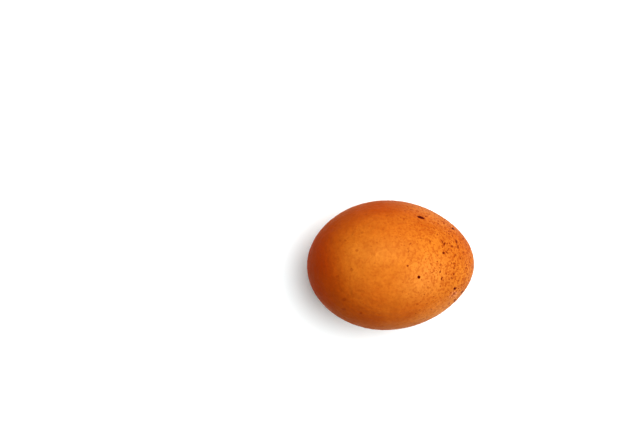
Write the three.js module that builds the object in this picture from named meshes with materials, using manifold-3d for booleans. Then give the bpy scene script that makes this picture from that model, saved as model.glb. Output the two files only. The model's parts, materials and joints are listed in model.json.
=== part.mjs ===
// A brown hen's egg lying on its side, as one closed solid. Millimetres, +Z up.
//
// The egg is a solid of revolution about its long axis, which runs along +X towards the pointed end. It lies
// as a real egg does, with its centre of gravity straight above the spot that it touches, so the pointed end
// dips a little. That spot is a small flat in the shell. Its middle, on the surface the egg lies on, is the
// origin.

import * as THREE from "three";
import { mergeVertices } from "three/addons/utils/BufferGeometryUtils.js";
import Module from "manifold-3d";

// Driving dimensions
const WIDTH = 43.5; // the widest diameter
const LENGTH = 56.5; // from the blunt end to the pointed end
const TAPER = -0.067; // how much slimmer the pointed half is than the blunt half
const END_FULLNESS = -0.062; // below 0 both ends are slimmer than an ellipse's
const REST_FLAT_DEPTH = 0.22; // how far the flat that it rests on cuts into the shell

// How finely the surface is divided
const STEPS_ALONG = 40;
const STEPS_AROUND = 64;
const INTEGRATION_STEPS = 2000;

// Two corners closer than this are the same one
const WELD_DISTANCE = 1e-4;

// The outline is Preston's egg curve. turn goes from 0 at the pointed end to PI at the blunt end.
const fullness = (turn) => 1 + TAPER * Math.cos(turn) + END_FULLNESS * Math.cos(turn) ** 2;
const station = (turn) => (LENGTH / 2) * Math.cos(turn);
const unitRadius = (turn) => Math.sin(turn) * fullness(turn);

const turns = Array.from({ length: INTEGRATION_STEPS + 1 }, (_, i) => (Math.PI * i) / INTEGRATION_STEPS);
const WIDEST_UNIT_RADIUS = Math.max(...turns.map(unitRadius));
const radius = (turn) => ((WIDTH / 2) * unitRadius(turn)) / WIDEST_UNIT_RADIUS;

// Where the centre of gravity of the solid lies along its long axis
function centreOfGravity() {
  let volume = 0;
  let moment = 0;
  for (let i = 0; i < INTEGRATION_STEPS; i += 1) {
    const middle = (turns[i] + turns[i + 1]) / 2;
    const slice = radius(middle) ** 2 * (station(turns[i]) - station(turns[i + 1]));
    volume += slice;
    moment += slice * station(middle);
  }
  return moment / volume;
}

// The side of the egg touches the surface where the outline is nearest to the centre of gravity, because there
// the line between the two is square to the shell.
function restPose() {
  const centre = centreOfGravity();
  const distance = (turn) => Math.hypot(station(turn) - centre, radius(turn));
  const onTheSide = turns.filter((turn) => turn > Math.PI / 4 && turn < (3 * Math.PI) / 4);
  const touching = onTheSide.reduce((best, turn) => (distance(turn) < distance(best) ? turn : best));
  return {
    centre,
    dip: Math.atan2(station(touching) - centre, radius(touching)),
    height: distance(touching) - REST_FLAT_DEPTH,
  };
}

// The whole egg before its flat is made, in its rest pose
function shellGeometry() {
  const profile = Array.from({ length: STEPS_ALONG + 1 }, (_, i) => {
    const turn = Math.PI * (1 - i / STEPS_ALONG);
    const atAnEnd = i === 0 || i === STEPS_ALONG;
    return new THREE.Vector2(atAnEnd ? 0 : radius(turn), station(turn));
  });
  const { centre, dip, height } = restPose();
  return new THREE.LatheGeometry(profile, STEPS_AROUND)
    .rotateZ(-Math.PI / 2) // the long axis from +Y to +X
    .translate(-centre, 0, 0)
    .rotateY(dip)
    .translate(0, 0, height);
}

// The space under the surface that the egg lies on, as a slab wide enough to hold everything below z = 0
function groundGeometry() {
  const thickness = 10;
  return new THREE.BoxGeometry(LENGTH, WIDTH, thickness).translate(0, 0, -thickness / 2);
}

const wasm = await Module();
wasm.setup();

// A closed geometry as a solid that can be cut
function solidFrom(geometry) {
  geometry.deleteAttribute("normal");
  geometry.deleteAttribute("uv");
  const welded = mergeVertices(geometry, WELD_DISTANCE);
  const mesh = new wasm.Mesh({
    numProp: 3,
    vertProperties: welded.attributes.position.array,
    triVerts: new Uint32Array(welded.index.array),
  });
  return new wasm.Manifold(mesh);
}

// A cut solid as a geometry for its mesh
function geometryFrom(solid) {
  const mesh = solid.getMesh();
  const geometry = new THREE.BufferGeometry();
  geometry.setAttribute("position", new THREE.BufferAttribute(mesh.vertProperties, 3));
  geometry.setIndex(new THREE.BufferAttribute(mesh.triVerts, 1));
  geometry.computeVertexNormals();
  return geometry;
}

// The shell: brown, with the egg's own dull sheen
function makeEgg() {
  const solid = solidFrom(shellGeometry()).subtract(solidFrom(groundGeometry()));
  const brownShell = new THREE.MeshStandardMaterial({ color: 0xd8752c, roughness: 0.55, metalness: 0 });
  const egg = new THREE.Mesh(geometryFrom(solid), brownShell);
  egg.name = "egg";
  return egg;
}

const group = new THREE.Group();
group.add(makeEgg());

export default group;
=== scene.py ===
"""A brown hen's egg lying on a pale studio floor."""

import json
import math

import bmesh
import bpy
import numpy as np
from bpy.props import FloatProperty, FloatVectorProperty, IntProperty, PointerProperty
from mathutils import Matrix, Vector, noise

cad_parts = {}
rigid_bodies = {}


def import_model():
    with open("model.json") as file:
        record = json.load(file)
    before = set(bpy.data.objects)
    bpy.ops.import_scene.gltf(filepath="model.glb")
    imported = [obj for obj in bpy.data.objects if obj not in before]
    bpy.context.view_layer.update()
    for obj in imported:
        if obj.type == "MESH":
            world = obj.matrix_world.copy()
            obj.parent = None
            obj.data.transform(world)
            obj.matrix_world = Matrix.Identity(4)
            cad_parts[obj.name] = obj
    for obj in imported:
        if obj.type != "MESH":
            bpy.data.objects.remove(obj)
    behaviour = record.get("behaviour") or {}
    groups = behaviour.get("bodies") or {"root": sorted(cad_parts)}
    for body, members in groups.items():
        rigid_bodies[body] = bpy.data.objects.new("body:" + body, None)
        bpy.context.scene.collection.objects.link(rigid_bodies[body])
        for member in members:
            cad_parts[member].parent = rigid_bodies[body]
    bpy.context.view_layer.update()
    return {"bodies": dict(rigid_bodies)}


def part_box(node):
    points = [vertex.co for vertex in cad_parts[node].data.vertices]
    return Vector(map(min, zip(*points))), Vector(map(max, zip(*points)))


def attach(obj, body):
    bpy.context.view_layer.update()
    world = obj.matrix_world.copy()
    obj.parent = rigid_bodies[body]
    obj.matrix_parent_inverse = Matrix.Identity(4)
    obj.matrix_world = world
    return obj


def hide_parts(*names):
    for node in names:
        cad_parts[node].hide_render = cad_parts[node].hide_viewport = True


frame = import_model()

bl_info = {
    "name": "Hen's Egg",
    "version": (1, 0, 0),
    "blender": (4, 5, 0),
    "location": "3D View > Sidebar > Egg",
    "description": "Builds a whole brown hen's egg and a plain studio for it",
    "category": "Add Mesh",
}

MM = 0.001
EGG_NODE = "egg"
EGG_PIECE = "whole_egg"
BODY = next(iter(frame["bodies"]))

# The egg's outline is Preston's curve, whose two shape numbers are those of the solid in the frame.
TAPER = -0.067
END_FULLNESS = -0.062
LENGTH_TO_WIDTH = 56.5 / 43.5
REST_FLAT_DEPTH = 0.22
OUTLINE_STEPS = 2001
EGG_LOW, EGG_HIGH = (Vector(corner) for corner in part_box(EGG_NODE))

# The marks that stand out, one a line: how far along the egg from its middle towards the pointed end in
# millimetres, how far round from the top towards the left in degrees, half the mark's length and half its
# width in millimetres, how far it is turned from the long axis in degrees, and how strong it is, up to 1.
FLECKS = (
    (8.2, 51, 1.35, 0.66, -8, 1.0),
    (10.2, 55, 0.60, 0.30, 45, 0.6),
    (19.7, 55, 0.90, 0.50, 45, 1.0),
    (18.5, 56, 0.75, 0.30, 30, 0.4),
    (18.3, 45, 0.45, 0.25, 45, 0.5),
    (15.0, 24, 0.85, 0.30, 50, 0.8),
    (14.3, 26, 0.65, 0.28, -60, 0.8),
    (19.8, 32, 0.95, 0.40, -83, 0.85),
    (20.2, 25, 0.75, 0.36, 80, 0.85),
    (17.8, 23, 0.60, 0.38, 12, 0.7),
    (14.3, 14, 0.48, 0.42, 14, 0.9),
    (15.5, 15, 0.64, 0.30, -45, 0.7),
    (22.1, 19, 0.55, 0.32, 15, 0.7),
    (18.7, 13, 0.45, 0.36, 10, 0.6),
    (16.3, 19, 0.36, 0.26, 16, 0.6),
    (1.8, 2, 0.35, 0.31, 0, 0.75),
    (5.4, -8, 0.50, 0.46, -18, 1.0),
    (12.7, -5, 0.36, 0.30, -10, 0.8),
    (14.9, -8, 0.36, 0.28, -14, 0.6),
    (13.3, -12, 0.70, 0.34, 70, 0.85),
    (17.9, -10, 0.45, 0.34, -15, 0.7),
    (17.9, -3, 0.38, 0.30, -7, 0.6),
    (17.0, -14, 0.38, 0.30, -25, 0.6),
    (20.0, -21, 0.42, 0.30, -30, 0.5),
    (18.0, 3, 0.40, 0.30, 0, 0.65),
    (18.6, -30, 0.72, 0.46, -35, 1.0),
    (18.6, -38, 0.80, 0.50, -38, 0.7),
    (17.9, -40, 0.50, 0.30, -45, 0.5),
    (19.3, -37, 0.45, 0.30, -45, 0.5),
    (22.4, -51, 1.05, 0.52, -35, 0.95),
    (19.8, -58, 1.35, 0.50, -78, 0.80),
    (-15.5, 0, 0.60, 0.48, 0, 0.3),
    (-13.8, 18, 0.50, 0.44, -20, 0.28),
    (-18.4, 33, 0.48, 0.36, -40, 0.25),
    (-16.9, 31, 0.47, 0.38, -55, 0.25),
    (-19.8, -8, 0.56, 0.40, 10, 0.3),
    (-17.6, -34, 0.90, 0.50, 45, 0.3),
    (-17.6, -49, 0.95, 0.60, 50, 0.3),
    (-12.3, -46, 0.55, 0.40, 45, 0.4),
    (-11.6, 35, 0.50, 0.42, -40, 0.25),
    (14.5, 118, 0.62, 0.44, 20, 0.9),
    (19.0, 141, 0.45, 0.34, -35, 0.75),
    (9.0, 163, 0.50, 0.42, 70, 0.6),
    (17.5, -97, 0.80, 0.36, 40, 0.85),
    (12.0, -124, 0.42, 0.38, 0, 0.9),
    (20.5, -140, 0.40, 0.30, 30, 0.7),
    (4.5, -82, 0.45, 0.38, -20, 0.6),
    (-6.0, -105, 0.40, 0.36, 0, 0.5),
    (-13.0, 92, 0.55, 0.45, 30, 0.35),
    (-19.0, 128, 0.50, 0.40, -30, 0.3),
)
# Patches, set out in the same way. The pale ones: some where the bloom is worn thin, and some painted light
# along the lit rims and at the pointed tip. The deep ones: deeper brown, partly painted shade on the upper
# and lower sides. And the chalky ones.
WORN_AND_LIT_PATCHES = (
    (8.5, -10, 7.5, 5.5, 20, 0.50),
    (12.5, 66, 10.0, 4.6, -5, 0.65),
    (15.0, -60, 9.0, 5.2, 5, 0.75),
    (-3.0, 158, 8.0, 5.0, 35, 0.40),
    (28.2, 0, 8.5, 9.5, 0, 0.55),
    (5.0, -72, 12.0, 4.2, -8, 0.34),
    (-4.0, 15, 9.0, 3.5, 0, 0.22),
)
DEEP_AND_SHADED_PATCHES = (
    (-8.0, 66, 15.0, 6.5, 0, 0.36),
    (-2.0, 37, 8.0, 4.5, 0, 0.20),
    (-7.0, -24, 6.0, 6.0, 0, 0.18),
    (3.0, -41, 9.0, 3.8, 8, 0.24),
    (6.0, -145, 9.0, 5.0, 30, 0.35),
)
CHALK_PATCHES = (
    (18.6, -41, 1.9, 1.5, -45, 0.6),
    (13.0, 104, 2.4, 1.3, 15, 0.5),
    (-22.0, -75, 2.2, 1.2, 40, 0.4),
)

# The ground colour changes along the egg, counted from its middle towards the pointed end, and with the
# height above its long axis. Deeper towards the blunt end is partly the shell's own brown and partly
# painted shade. Deeper low on the flanks is painted shade. All in millimetres, apart from the shares and
# slopes.
BLUNT_STARTS, BLUNT_FULL = -11.0, -26.5
SHADED_FLANK_STARTS, SHADED_FLANK_FULL = 15.5, 2.5
SHADED_FLANK_MOST = 0.9
SHADED_FLANK_RISE_ALONG = 0.2
SHADED_FLANK_TWIST = -0.015
CLOUD_SIZE = 11.0
CLOUDS_SHIFT_BLUNT, CLOUDS_SHIFT_SHADED_FLANK = 10.0, -8.0

# Each layer of rusty blotches: their size in millimetres, and how strong they are at most. They come out of
# a noise that goes from 0 to 1, from one level of it to another.
RUST_LAYERS = ((4.5, 0.22), (1.3, 0.20))
RUST_STARTS, RUST_FULL = 0.38, 0.68

# The stipple and the speckles thicken towards the pointed end.
STIPPLE_STARTS, STIPPLE_FULL = -4.0, 20.0
STIPPLE_LEAST = 0.30
STIPPLE_LEAN = 0.25
SPECKLES_START, SPECKLES_FULL = -2.0, 20.0
SPECKLES_LEAST, SPECKLES_MOST = 0.04, 0.9

# The Mix node has a socket of each name for every data type. These are the ones that mix colours.
MIX_FACTOR, MIX_A, MIX_B, MIX_RESULT = 0, 6, 7, 2

LENS_MM = 50
SENSOR_WIDTH_MM = 36
FLOOR_SIDES = 96


def linear(hex_colour):
    """An sRGB hex colour as linear red, green, blue and alpha."""
    parts = [int(hex_colour[i : i + 2], 16) / 255 for i in (1, 3, 5)]
    return (*[p / 12.92 if p <= 0.04045 else ((p + 0.055) / 1.055) ** 2.4 for p in parts], 1.0)


def length_property(name, description, millimetres):
    metres = millimetres * MM
    return FloatProperty(name=name, description=description, default=metres, unit="LENGTH", precision=5)


def angle_property(name, description, degrees):
    radians = math.radians(degrees)
    return FloatProperty(name=name, description=description, default=radians, subtype="ANGLE")


def colour_property(name, description, hex_colour):
    return FloatVectorProperty(
        name=name,
        description=description,
        default=linear(hex_colour),
        subtype="COLOR",
        size=4,
        min=0,
        max=1,
    )


class EggShape(bpy.types.PropertyGroup):
    width: length_property("Width", "Widest diameter of the egg", (EGG_HIGH.y - EGG_LOW.y) / MM)
    cells: IntProperty(
        name="Cells",
        description="Cells along each edge of the cube that the shell's mesh is blown up from",
        default=125,
        min=8,
        max=128,
    )
    lump_height: length_property("Lump Height", "How far the shell strays from a perfect egg", 0.09)
    lump_size: length_property("Lump Size", "Distance from one swelling to the next", 17)
    peel_height: length_property("Peel Height", "Depth of the fine orange-peel relief", 0.08)
    peel_size: length_property("Peel Size", "Distance from one dimple of the peel to the next", 1.3)
    pimple_height: length_property("Pimple Height", "Height of the small chalky pimples", 0.12)
    pimple_spacing: length_property("Pimple Spacing", "Distance between places for a pimple", 3.2)
    fleck_height: length_property("Fleck Height", "How far the dark flecks stand out", 0.05)


class EggColours(bpy.types.PropertyGroup):
    pointed_end: colour_property("Pointed End", "Ground colour up to the pointed end", "#cc8131")
    # Partly the shell's deeper brown and partly painted shade. It colours the blunt end and the deep
    # patches.
    blunt_end_and_shade: colour_property("Blunt End", "Ground colour at the blunt end and in patches", "#b2400b")
    # Painted shade: this deeper colour low on the sides stands in for the light falling off there.
    shaded_flank: colour_property("Flanks", "Ground colour low down on the sides", "#b45a11")
    # Partly worn bloom and partly painted light along the lit rims and at the pointed tip.
    worn: colour_property("Worn", "Paler ground where the bloom has worn thin", "#e19a52")
    rust: colour_property("Rust", "The faint rusty blotches all over", "#a04c12")
    stipple: colour_property("Stipple", "The fine stipple over the pointed end", "#a04510")
    speckle: colour_property("Speckles", "The separate speckles", "#7e2607")
    fleck: colour_property("Flecks", "The dark flecks", "#560a03")
    chalk: colour_property("Chalk", "The chalky patches", "#e3a280")


class EggStudio(bpy.types.PropertyGroup):
    key_strength: FloatProperty(name="Key Strength", description="Strength of the key light", default=3.4)
    key_elevation: angle_property("Key Elevation", "Height of the key light above the horizon", 66)
    key_bearing: angle_property("Key Bearing", "Where the key light stands, left of the pointed end", 28)
    key_width: angle_property("Key Width", "Angle that the key light covers", 66)
    surround_strength: FloatProperty(
        name="Surround Strength",
        description="Strength of the light from all around",
        default=0.1,
    )
    floor: colour_property("Floor", "The paper that the egg lies on", "#f8feff")
    floor_radius: length_property("Floor Radius", "Radius of the paper", 2000)
    camera_height: length_property("Camera Height", "How high it hangs above the egg's middle", 299.5)
    camera_leftwards: length_property("Camera Leftwards", "How far left of the middle it hangs", 23.87)
    camera_upwards: length_property("Camera Upwards", "How far up the picture it hangs", 17.3)
    camera_roll: angle_property("Camera Roll", "How far the picture is turned", -1.6)


def half_length(shape):
    return shape.width / MM * LENGTH_TO_WIDTH / 2


def fullness(cosine):
    return 1 + TAPER * cosine + END_FULLNESS * cosine**2


def swelling(shape, cosine):
    """How far a ball's radius swells to make the egg's girth at each place, in millimetres. The cosine runs
    from -1 at the blunt end to 1 at the pointed end."""
    turn = np.linspace(0, math.pi, OUTLINE_STEPS)
    widest = (np.sin(turn) * fullness(np.cos(turn))).max()
    return shape.width / MM / 2 / widest * fullness(cosine)


def outline(shape):
    """Stations from the blunt end to the pointed end and the egg's radius at each, in millimetres."""
    turn = np.linspace(math.pi, 0, OUTLINE_STEPS)
    cosine = np.cos(turn)
    return half_length(shape) * cosine, np.sin(turn) * swelling(shape, cosine)


def rest_pose(shape):
    """Lays the egg down as it rests, with its centre of gravity straight above the spot it touches. From
    millimetres in the egg's own axes to metres on the floor."""
    station, radius = outline(shape)
    slices = radius[:-1] ** 2 * np.diff(station)
    centre = (slices * (station[:-1] + station[1:]) / 2).sum() / slices.sum()
    distance = np.hypot(station - centre, radius)
    side = radius > radius.max() / 2
    touching = np.flatnonzero(side)[distance[side].argmin()]
    dip = math.atan2(station[touching] - centre, radius[touching])
    height = distance[touching] - REST_FLAT_DEPTH
    return (
        Matrix.Scale(MM, 4)
        @ Matrix.Translation((0, 0, height))
        @ Matrix.Rotation(dip, 4, "Y")
        @ Matrix.Translation((-centre, 0, 0))
    )


def mark_frame(shape, along, around, turned):
    """Axes at a place on the shell: X and Y lie in it, turned from the long axis, and Z points outwards."""
    station, radius = outline(shape)
    slope = np.interp(along, station, np.gradient(radius, station))
    return (
        Matrix.Rotation(-math.radians(around), 4, "X")
        @ Matrix.Translation((along, 0, np.interp(along, station, radius)))
        @ Matrix.Rotation(-math.atan(slope), 4, "Y")
        @ Matrix.Rotation(math.radians(turned), 4, "Z")
    )


def mark_reach(length, width):
    """How far a mark reaches along its three axes, in millimetres. It goes deeper than it is long, because
    the shell curves away under it."""
    spare_depth = 1
    return length, width, length + spare_depth


def corners(mesh, attribute):
    values = np.empty(len(mesh.vertices) * 3)
    mesh.vertices.foreach_get(attribute, values)
    return values.reshape(-1, 3)


def shell_mesh(shape):
    """The shell as an even mesh of quads: a cube of small cells, blown up into the egg, with its relief."""
    bm = bmesh.new()
    bmesh.ops.create_cube(bm, size=2)
    bmesh.ops.subdivide_edges(bm, edges=bm.edges, cuts=shape.cells - 1, use_grid_fill=True)
    mesh = bpy.data.meshes.new(EGG_PIECE)
    bm.to_mesh(mesh)
    bm.free()

    cube = np.tan(corners(mesh, "co") * math.pi / 4)
    ball = cube / np.linalg.norm(cube, axis=1, keepdims=True)
    swell = swelling(shape, ball[:, 0])
    egg = np.column_stack((ball[:, 0] * half_length(shape), ball[:, 1] * swell, ball[:, 2] * swell))
    mesh.vertices.foreach_set("co", egg.ravel())
    mesh.update()
    egg += corners(mesh, "normal") * relief(shape, egg)[:, None]
    mesh.vertices.foreach_set("co", egg.ravel())
    mesh.transform(rest_pose(shape))

    resting = corners(mesh, "co")
    resting[:, 2] = np.maximum(resting[:, 2], 0)
    mesh.vertices.foreach_set("co", resting.ravel())
    mesh.shade_smooth()
    mesh.update()
    return mesh


def relief(shape, places):
    """How far the shell stands out from a perfect egg at each place, in millimetres. The flecks are thin
    scabs with sloping edges, which end a little outside the fleck's colour."""
    foot = 1.4
    heights = np.array([bare_relief(shape, Vector(place)) for place in places])
    for along, around, length, width, turned, strength in FLECKS:
        mark = mark_frame(shape, along, around, turned) @ Matrix.Diagonal((*mark_reach(length, width), 1))
        to_mark = np.array(mark.inverted())
        distance = np.linalg.norm(places @ to_mark[:3, :3].T + to_mark[:3, 3], axis=1)
        heights += strength * shape.fleck_height / MM * np.clip(foot - distance, 0, 1)
    return heights


def bare_relief(shape, place):
    """The relief of the bare shell at one place, in millimetres: broad lumps, orange peel and some pimples.
    A real shell's peel is too shallow to show, so this one is a few times as deep."""
    roughening, doubling, layers = 1.0, 2.0, 2
    pimple_radius = 0.2  # as a share of their spacing
    stride = 7.3  # between the places of two neighbouring pimples in the noise that picks them
    picked_above = 0.1  # in that noise, which goes from -1 to 1
    lumps = noise.noise(place * MM / shape.lump_size) * shape.lump_height
    peel = noise.fractal(place * MM / shape.peel_size, roughening, doubling, layers) * shape.peel_height
    distances, middles = noise.voronoi(place * MM / shape.pimple_spacing)
    has_pimple = noise.noise(middles[0] * stride) > picked_above
    pimple = max(1 - distances[0] / pimple_radius, 0) * shape.pimple_height * has_pimple
    return (lumps + peel + pimple) / MM


def add(tree, kind, sockets=None, **settings):
    """Adds a node with its settings. sockets gives each input a value, or the output that feeds it."""
    node = tree.nodes.new("ShaderNode" + kind)
    for name, value in settings.items():
        setattr(node, name, value)
    for socket, value in (sockets or {}).items():
        if isinstance(value, bpy.types.NodeSocket):
            tree.links.new(value, node.inputs[socket])
        else:
            node.inputs[socket].default_value = value
    return node


def brown_eggshell(shape, colours):
    """Calcite, pigmented brown in its outermost layer as it was laid, and left with its dull waxy bloom. So
    it is a warm orange brown, stippled and flecked darker, with hardly any gloss. Its colour also holds
    painted shade low on the flanks, at the blunt end and in some deep patches, and painted light along the
    lit rims and at the pointed tip."""
    material = bpy.data.materials.new("Brown eggshell, laid and unwashed")
    material.use_nodes = True
    tree = material.node_tree
    tree.nodes.clear()

    pose = rest_pose(shape)
    place = add(tree, "TexCoord").outputs["Object"]
    on_egg = add(
        tree,
        "Mapping",
        {
            "Vector": place,
            "Location": pose.translation,
            "Rotation": pose.to_euler(),
            "Scale": pose.to_scale(),
        },
        vector_type="TEXTURE",
    ).outputs["Vector"]
    ragged = ragged_place(tree, on_egg, grain=0.6, raggedness=0.9)
    torn = ragged_place(tree, on_egg, grain=0.9, raggedness=2.2)
    nearly_even = ragged_place(tree, on_egg, grain=0.6, raggedness=0.5)

    # The pale patches hold both worn bloom and painted light along the lit rims and at the pointed tip.
    worn = marks(tree, torn, shape, WORN_AND_LIT_PATCHES, softness=0.7)
    # The deep patches hold both deeper brown and painted shade on the upper and lower sides.
    deep = marks(tree, torn, shape, DEEP_AND_SHADED_PATCHES, softness=0.7)
    ground = ground_colour_and_painted_shade(tree, on_egg, worn, deep, colours)
    rusted = rusted_colour(tree, on_egg, ground, colours)
    speckled = speckled_colour(tree, on_egg, ragged, rusted, colours)
    chalk = crumbled(tree, on_egg, marks(tree, torn, shape, CHALK_PATCHES, softness=0.25))
    dark = marks(tree, nearly_even, shape, FLECKS, softness=0.25)
    flecked = flecked_colour(tree, speckled, chalk, dark, colours)

    shell = add(
        tree,
        "BsdfPrincipled",
        {
            "Base Color": flecked,
            "Roughness": uneven_roughness(tree, on_egg, chalk),
            "IOR": 1.5,
            "Specular IOR Level": 0.03,
            "Normal": pitted_normal(tree, on_egg, ragged),
        },
    )
    add(tree, "OutputMaterial", {"Surface": shell.outputs["BSDF"]})
    return material


def ragged_place(tree, on_egg, grain, raggedness):
    """Places shifted about at random, so that what is drawn by them has ragged edges. The grain of the
    shifts and how far they range are in millimetres."""
    noise_mean = (0.5, 0.5, 0.5)
    wobble = add(tree, "TexNoise", {"Vector": on_egg, "Scale": 1 / grain, "Detail": 2.0})
    shift = add(tree, "VectorMath", {0: wobble.outputs["Color"], 1: noise_mean}, operation="SUBTRACT")
    nudge = add(tree, "VectorMath", {0: shift.outputs[0], "Scale": raggedness}, operation="SCALE")
    return add(tree, "VectorMath", {0: on_egg, 1: nudge.outputs[0]}, operation="ADD").outputs[0]


def ground_colour_and_painted_shade(tree, on_egg, worn, deep, colours):
    """Orange brown at the pointed end and along the top, with painted shade making it deeper low on the
    flanks.
    Deeper at the blunt end, partly the shell's own brown and partly painted shade. Paler where the bloom is
    worn and where painted light lies along the lit rims and at the pointed tip. As deep as the blunt end in
    patches, which are partly deeper brown and partly painted shade."""
    along, left, up = add(tree, "SeparateXYZ", {"Vector": on_egg}).outputs
    noise_texture = add(tree, "TexNoise", {"Vector": on_egg, "Scale": 1 / CLOUD_SIZE, "Detail": 3.0})
    clouds = noise_texture.outputs["Fac"]
    lean = add(tree, "Math", {0: left, 1: SHADED_FLANK_TWIST, 2: SHADED_FLANK_RISE_ALONG}, operation="MULTIPLY_ADD")
    leaning = add(tree, "Math", {0: lean.outputs[0], 1: along, 2: up}, operation="MULTIPLY_ADD")
    height = add(
        tree,
        "Math",
        {0: clouds, 1: CLOUDS_SHIFT_SHADED_FLANK, 2: leaning.outputs[0]},
        operation="MULTIPLY_ADD",
    )
    # Painted shade: the flank colour comes in further down the sides.
    low = add(
        tree,
        "MapRange",
        {
            "Value": height.outputs[0],
            "From Min": SHADED_FLANK_STARTS,
            "From Max": SHADED_FLANK_FULL,
            "To Max": SHADED_FLANK_MOST,
        },
        interpolation_type="SMOOTHSTEP",
    )
    sides = add(
        tree,
        "Mix",
        {MIX_FACTOR: low.outputs["Result"], MIX_A: colours.pointed_end, MIX_B: colours.shaded_flank},
        data_type="RGBA",
    )
    # Paler patches: partly worn bloom, partly painted light along the lit rims and at the pointed tip.
    bloom = add(
        tree,
        "Mix",
        {MIX_FACTOR: worn, MIX_A: sides.outputs[MIX_RESULT], MIX_B: colours.worn},
        data_type="RGBA",
    )
    # Deep patches: partly deeper brown, partly painted shade.
    patched = add(
        tree,
        "Mix",
        {MIX_FACTOR: deep, MIX_A: bloom.outputs[MIX_RESULT], MIX_B: colours.blunt_end_and_shade},
        data_type="RGBA",
    )
    # Deeper towards the blunt end: partly the shell's own brown, partly painted shade.
    station = add(tree, "Math", {0: clouds, 1: CLOUDS_SHIFT_BLUNT, 2: along}, operation="MULTIPLY_ADD")
    blunt = add(
        tree,
        "MapRange",
        {"Value": station.outputs[0], "From Min": BLUNT_STARTS, "From Max": BLUNT_FULL},
        interpolation_type="SMOOTHSTEP",
    )
    ground = add(
        tree,
        "Mix",
        {MIX_FACTOR: blunt.outputs["Result"], MIX_A: patched.outputs[MIX_RESULT], MIX_B: colours.blunt_end_and_shade},
        data_type="RGBA",
    )
    return ground.outputs[MIX_RESULT]


def rusted_colour(tree, on_egg, ground, colours):
    """The ground colour, clouded all over with faint rusty blotches."""
    rusted = ground
    for size, most in RUST_LAYERS:
        blotches = add(tree, "TexNoise", {"Vector": on_egg, "Scale": 1 / size, "Detail": 2.0})
        share = add(
            tree,
            "MapRange",
            {
                "Value": blotches.outputs["Fac"],
                "From Min": RUST_STARTS,
                "From Max": RUST_FULL,
                "To Max": most,
            },
        )
        rusted = add(
            tree,
            "Mix",
            {MIX_FACTOR: share.outputs["Result"], MIX_A: rusted, MIX_B: colours.rust},
            data_type="RGBA",
        ).outputs[MIX_RESULT]
    return rusted


def speckled_colour(tree, on_egg, ragged, ground, colours):
    """A fine stipple, thickest at the pointed end and a little thicker on the left, with larger and darker
    speckles among it. Part of the stipple is dots, and the rest is the crests of a noise."""
    crest_size = 0.8
    crests_start, crests_full = 0.5, 0.62
    crests_most = 0.55
    along, left, _ = add(tree, "SeparateXYZ", {"Vector": on_egg}).outputs
    station = add(tree, "Math", {0: left, 1: STIPPLE_LEAN, 2: along}, operation="MULTIPLY_ADD").outputs[0]
    crowding = add(
        tree,
        "MapRange",
        {
            "Value": station,
            "From Min": STIPPLE_STARTS,
            "From Max": STIPPLE_FULL,
            "To Min": STIPPLE_LEAST,
            "To Max": 1.0,
        },
    ).outputs["Result"]
    noise_texture = add(tree, "TexNoise", {"Vector": ragged, "Scale": 1 / crest_size, "Detail": 1.0})
    crests = add(
        tree,
        "MapRange",
        {
            "Value": noise_texture.outputs["Fac"],
            "From Min": crests_start,
            "From Max": crests_full,
            "To Max": crests_most,
        },
    )
    stipple = dots(tree, ragged, spacing=0.85, smallest=0.16, largest=0.34, likely=crowding)
    either = add(tree, "Math", {0: crests.outputs["Result"], 1: stipple}, operation="MAXIMUM")
    share = add(tree, "Math", {0: either.outputs[0], 1: crowding}, operation="MULTIPLY")
    stippled = add(
        tree,
        "Mix",
        {MIX_FACTOR: share.outputs[0], MIX_A: ground, MIX_B: colours.stipple},
        data_type="RGBA",
    )
    likely = add(
        tree,
        "MapRange",
        {
            "Value": station,
            "From Min": SPECKLES_START,
            "From Max": SPECKLES_FULL,
            "To Min": SPECKLES_LEAST,
            "To Max": SPECKLES_MOST,
        },
    ).outputs["Result"]
    speckles = dots(tree, ragged, spacing=1.05, smallest=0.18, largest=0.38, likely=likely)
    strong = add(tree, "Math", {0: speckles, 1: crowding}, operation="MULTIPLY")
    speckled = add(
        tree,
        "Mix",
        {MIX_FACTOR: strong.outputs[0], MIX_A: stippled.outputs[MIX_RESULT], MIX_B: colours.speckle},
        data_type="RGBA",
    )
    return speckled.outputs[MIX_RESULT]


def flecked_colour(tree, speckled, chalk, dark, colours):
    """The speckled shell with its chalky patches, and over them the flecks, the strongest the darkest."""
    darkens_from = 0.6
    chalky = add(tree, "Mix", {MIX_FACTOR: chalk, MIX_A: speckled, MIX_B: colours.chalk}, data_type="RGBA")
    darkest = add(tree, "MapRange", {"Value": dark, "From Min": darkens_from})
    pigment = add(
        tree,
        "Mix",
        {MIX_FACTOR: darkest.outputs["Result"], MIX_A: colours.speckle, MIX_B: colours.fleck},
        data_type="RGBA",
    )
    flecked = add(
        tree,
        "Mix",
        {MIX_FACTOR: dark, MIX_A: chalky.outputs[MIX_RESULT], MIX_B: pigment.outputs[MIX_RESULT]},
        data_type="RGBA",
    )
    return flecked.outputs[MIX_RESULT]


def crumbled(tree, on_egg, patches):
    """Breaks patches up into crumbs half a millimetre apart."""
    crumb_spacing = 0.5
    crumbs_start, crumbs_full = 0.42, 0.58
    noise_texture = add(tree, "TexNoise", {"Vector": on_egg, "Scale": 1 / crumb_spacing, "Detail": 2.0})
    crumbs = add(
        tree,
        "MapRange",
        {"Value": noise_texture.outputs["Fac"], "From Min": crumbs_start, "From Max": crumbs_full},
    )
    return add(tree, "Math", {0: patches, 1: crumbs.outputs["Result"]}, operation="MULTIPLY").outputs[0]


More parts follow.
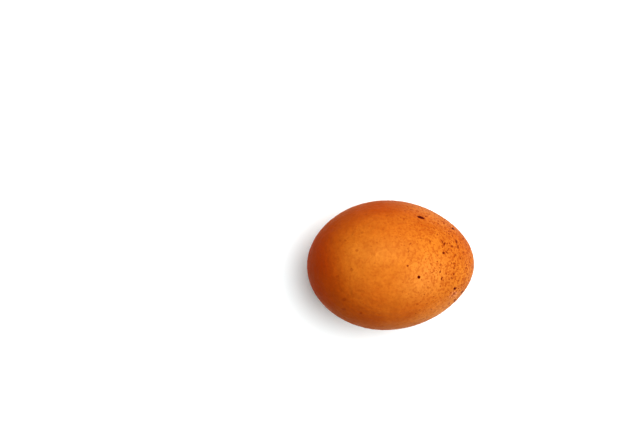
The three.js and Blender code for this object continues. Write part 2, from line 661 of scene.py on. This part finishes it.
def uneven_roughness(tree, on_egg, chalk):
    """A dull satin, smeared a little rougher and smoother, and roughest where there is chalk."""
    smear_size = 4
    smears_start, smears_full = 0.3, 0.7
    smoothest, roughest = 0.42, 0.54
    chalk_adds = 0.25
    smears = add(tree, "TexNoise", {"Vector": on_egg, "Scale": 1 / smear_size, "Detail": 3.0})
    satin = add(
        tree,
        "MapRange",
        {
            "Value": smears.outputs["Fac"],
            "From Min": smears_start,
            "From Max": smears_full,
            "To Min": smoothest,
            "To Max": roughest,
        },
    )
    roughness = add(
        tree,
        "Math",
        {0: chalk, 1: chalk_adds, 2: satin.outputs["Result"]},
        operation="MULTIPLY_ADD",
    )
    return roughness.outputs[0]


def pitted_normal(tree, on_egg, ragged):
    """The grain and the pores, as a bump. A real pore is under 0.05 mm across and the grain is finer still,
    too fine to show, so the pores are drawn about 0.2 mm wide and the grain 0.4 mm from crest to crest."""
    grain_size = 0.4
    grain_height = 0.07
    pore_depth = 0.8  # times the height of the grain
    pores = dots(tree, ragged, spacing=0.9, smallest=0.08, largest=0.14, likely=0.8)
    grain = add(tree, "TexNoise", {"Vector": on_egg, "Scale": 1 / grain_size, "Detail": 2.0})
    height = add(
        tree,
        "Math",
        {0: pores, 1: -pore_depth, 2: grain.outputs["Fac"]},
        operation="MULTIPLY_ADD",
    )
    bump = add(
        tree,
        "Bump",
        {"Strength": 1.0, "Distance": grain_height * MM, "Height": height.outputs[0]},
    )
    return bump.outputs["Normal"]


def dots(tree, place, spacing, smallest, largest, likely):
    """Soft-edged dots scattered about a spacing apart, from 0 between them to 1 inside the strongest. Their
    radii go from the smallest to the largest, in millimetres, and likely is the share of the places that
    hold a dot."""
    soft_edge = 0.06
    faintest = 0.4
    cells = add(tree, "TexVoronoi", {"Vector": place, "Scale": 1 / spacing})
    chance = add(tree, "SeparateColor", {"Color": cells.outputs["Color"]})
    chosen = add(tree, "Math", {0: chance.outputs[0], 1: likely}, operation="LESS_THAN")
    radius = add(
        tree,
        "MapRange",
        {"Value": chance.outputs[1], "To Min": smallest / spacing, "To Max": largest / spacing},
    )
    depth = {0: radius.outputs["Result"], 1: cells.outputs["Distance"]}
    inside = add(tree, "Math", depth, operation="SUBTRACT")
    dot = add(tree, "MapRange", {"Value": inside.outputs[0], "From Max": soft_edge / spacing})
    strength = add(tree, "MapRange", {"Value": chance.outputs[2], "To Min": faintest})
    kept = add(tree, "Math", {0: strength.outputs["Result"], 1: chosen.outputs[0]}, operation="MULTIPLY")
    drawn = add(tree, "Math", {0: dot.outputs["Result"], 1: kept.outputs[0]}, operation="MULTIPLY")
    return drawn.outputs[0]


def marks(tree, place, shape, table, softness):
    """How strongly the marks of a table cover each place, from 0 where there are none. Their edges fade
    over twice the softness, as a share of their size."""
    cover = 0.0
    for along, around, length, width, turned, strength in table:
        spot = mark_frame(shape, along, around, turned)
        placed = add(
            tree,
            "Mapping",
            {
                "Vector": place,
                "Location": spot.translation,
                "Rotation": spot.to_euler(),
                "Scale": mark_reach(length, width),
            },
            vector_type="TEXTURE",
        )
        distance = add(tree, "VectorMath", {0: placed.outputs[0]}, operation="LENGTH")
        share = add(
            tree,
            "MapRange",
            {
                "Value": distance.outputs["Value"],
                "From Min": 1 + softness,
                "From Max": 1 - softness,
                "To Max": strength,
            },
        )
        cover = add(tree, "Math", {0: cover, 1: share.outputs["Result"]}, operation="MAXIMUM").outputs[0]
    return cover


def matt_paper(studio):
    """White paper, uncoated, which gives no gloss at all. It fades away outwards, so that no edge shows."""
    fade_starts, fade_ends = studio.floor_radius / 4, studio.floor_radius * 0.9
    material = bpy.data.materials.new("White paper, uncoated")
    material.use_nodes = True
    tree = material.node_tree
    tree.nodes.clear()
    place = add(tree, "TexCoord").outputs["Object"]
    distance = add(tree, "VectorMath", {0: place}, operation="LENGTH")
    gone = add(
        tree,
        "MapRange",
        {"Value": distance.outputs["Value"], "From Min": fade_starts, "From Max": fade_ends},
        interpolation_type="SMOOTHSTEP",
    )
    paper = add(tree, "BsdfDiffuse", {"Color": studio.floor})
    clear = add(tree, "BsdfTransparent")
    mix = add(tree, "MixShader", {0: gone.outputs["Result"], 1: paper.outputs[0], 2: clear.outputs[0]})
    add(tree, "OutputMaterial", {"Surface": mix.outputs[0]})
    return material


def add_floor(context, studio):
    mesh = bpy.data.meshes.new("studio_floor")
    bm = bmesh.new()
    bmesh.ops.create_circle(bm, cap_ends=True, segments=FLOOR_SIDES, radius=studio.floor_radius)
    bm.to_mesh(mesh)
    bm.free()
    mesh.materials.append(matt_paper(studio))
    floor = bpy.data.objects.new("studio_floor", mesh)
    context.collection.objects.link(floor)


def add_surround(context, studio):
    """Light from all around: plain white to look at, but faint, so that the key light shapes the egg."""
    world = bpy.data.worlds.new("Soft surround")
    world.use_nodes = True
    tree = world.node_tree
    tree.nodes.clear()
    seen = add(tree, "LightPath").outputs["Is Camera Ray"]
    strength = add(tree, "MapRange", {"Value": seen, "To Min": studio.surround_strength, "To Max": 1.0})
    sky = add(tree, "Background", {"Color": linear("#ffffff"), "Strength": strength.outputs["Result"]})
    add(tree, "OutputWorld", {"Surface": sky.outputs[0]})
    context.scene.world = world


def add_key_light(context, studio):
    lamp = bpy.data.lights.new("Key", "SUN")
    lamp.energy = studio.key_strength
    lamp.angle = studio.key_width
    key = bpy.data.objects.new("Key", lamp)
    context.collection.objects.link(key)
    level = math.cos(studio.key_elevation)
    towards = Vector(
        (
            level * math.cos(studio.key_bearing),
            level * math.sin(studio.key_bearing),
            math.sin(studio.key_elevation),
        )
    )
    key.rotation_euler = towards.to_track_quat("Z", "Y").to_euler()


def add_camera(context, studio):
    """A camera that looks straight down, with the egg below and to the right of the picture's middle."""
    lens = bpy.data.cameras.new("Camera")
    lens.lens = LENS_MM
    lens.sensor_width = SENSOR_WIDTH_MM
    camera = bpy.data.objects.new("Camera", lens)
    context.collection.objects.link(camera)
    turn = Matrix.Rotation(studio.camera_roll, 3, "Z")
    offset = Vector((-studio.camera_leftwards, studio.camera_upwards, studio.camera_height))
    camera.location = (EGG_LOW + EGG_HIGH) / 2 + turn @ offset
    camera.rotation_euler = turn.to_euler()
    context.scene.camera = camera


class EGG_OT_whole_egg(bpy.types.Operator):
    """Adds the whole egg in its shell"""

    bl_idname = "egg.whole_egg"
    bl_label = "Add Whole Egg"

    def execute(self, context):
        shape = context.scene.egg_shape
        egg = bpy.data.objects.new(EGG_PIECE, shell_mesh(shape))
        context.collection.objects.link(egg)
        egg.data.materials.append(brown_eggshell(shape, context.scene.egg_colours))
        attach(egg, BODY)
        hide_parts(EGG_NODE)
        return {"FINISHED"}


class EGG_OT_studio(bpy.types.Operator):
    """Adds the pale floor, the soft light and the camera"""

    bl_idname = "egg.studio"
    bl_label = "Add Studio"

    def execute(self, context):
        studio = context.scene.egg_studio
        add_floor(context, studio)
        add_surround(context, studio)
        add_key_light(context, studio)
        add_camera(context, studio)
        view = context.scene.view_settings
        view.view_transform = "Standard"
        view.look = "High Contrast"
        return {"FINISHED"}


class EGG_PT_panel(bpy.types.Panel):
    bl_label = "Hen's Egg"
    bl_idname = "EGG_PT_panel"
    bl_space_type = "VIEW_3D"
    bl_region_type = "UI"
    bl_category = "Egg"

    def draw(self, context):
        scene = context.scene
        for settings in (scene.egg_shape, scene.egg_colours):
            for name in settings.__annotations__:
                self.layout.prop(settings, name)
        self.layout.operator("egg.whole_egg")
        for name in scene.egg_studio.__annotations__:
            self.layout.prop(scene.egg_studio, name)
        self.layout.operator("egg.studio")


CLASSES = (EggShape, EggColours, EggStudio, EGG_OT_whole_egg, EGG_OT_studio, EGG_PT_panel)


def register():
    for cls in CLASSES:
        bpy.utils.register_class(cls)
    bpy.types.Scene.egg_shape = PointerProperty(type=EggShape)
    bpy.types.Scene.egg_colours = PointerProperty(type=EggColours)
    bpy.types.Scene.egg_studio = PointerProperty(type=EggStudio)


def unregister():
    del bpy.types.Scene.egg_studio
    del bpy.types.Scene.egg_colours
    del bpy.types.Scene.egg_shape
    for cls in reversed(CLASSES):
        bpy.utils.unregister_class(cls)


def main():
    register()
    bpy.ops.egg.studio()
    bpy.ops.egg.whole_egg()


if __name__ == "__main__":
    main()
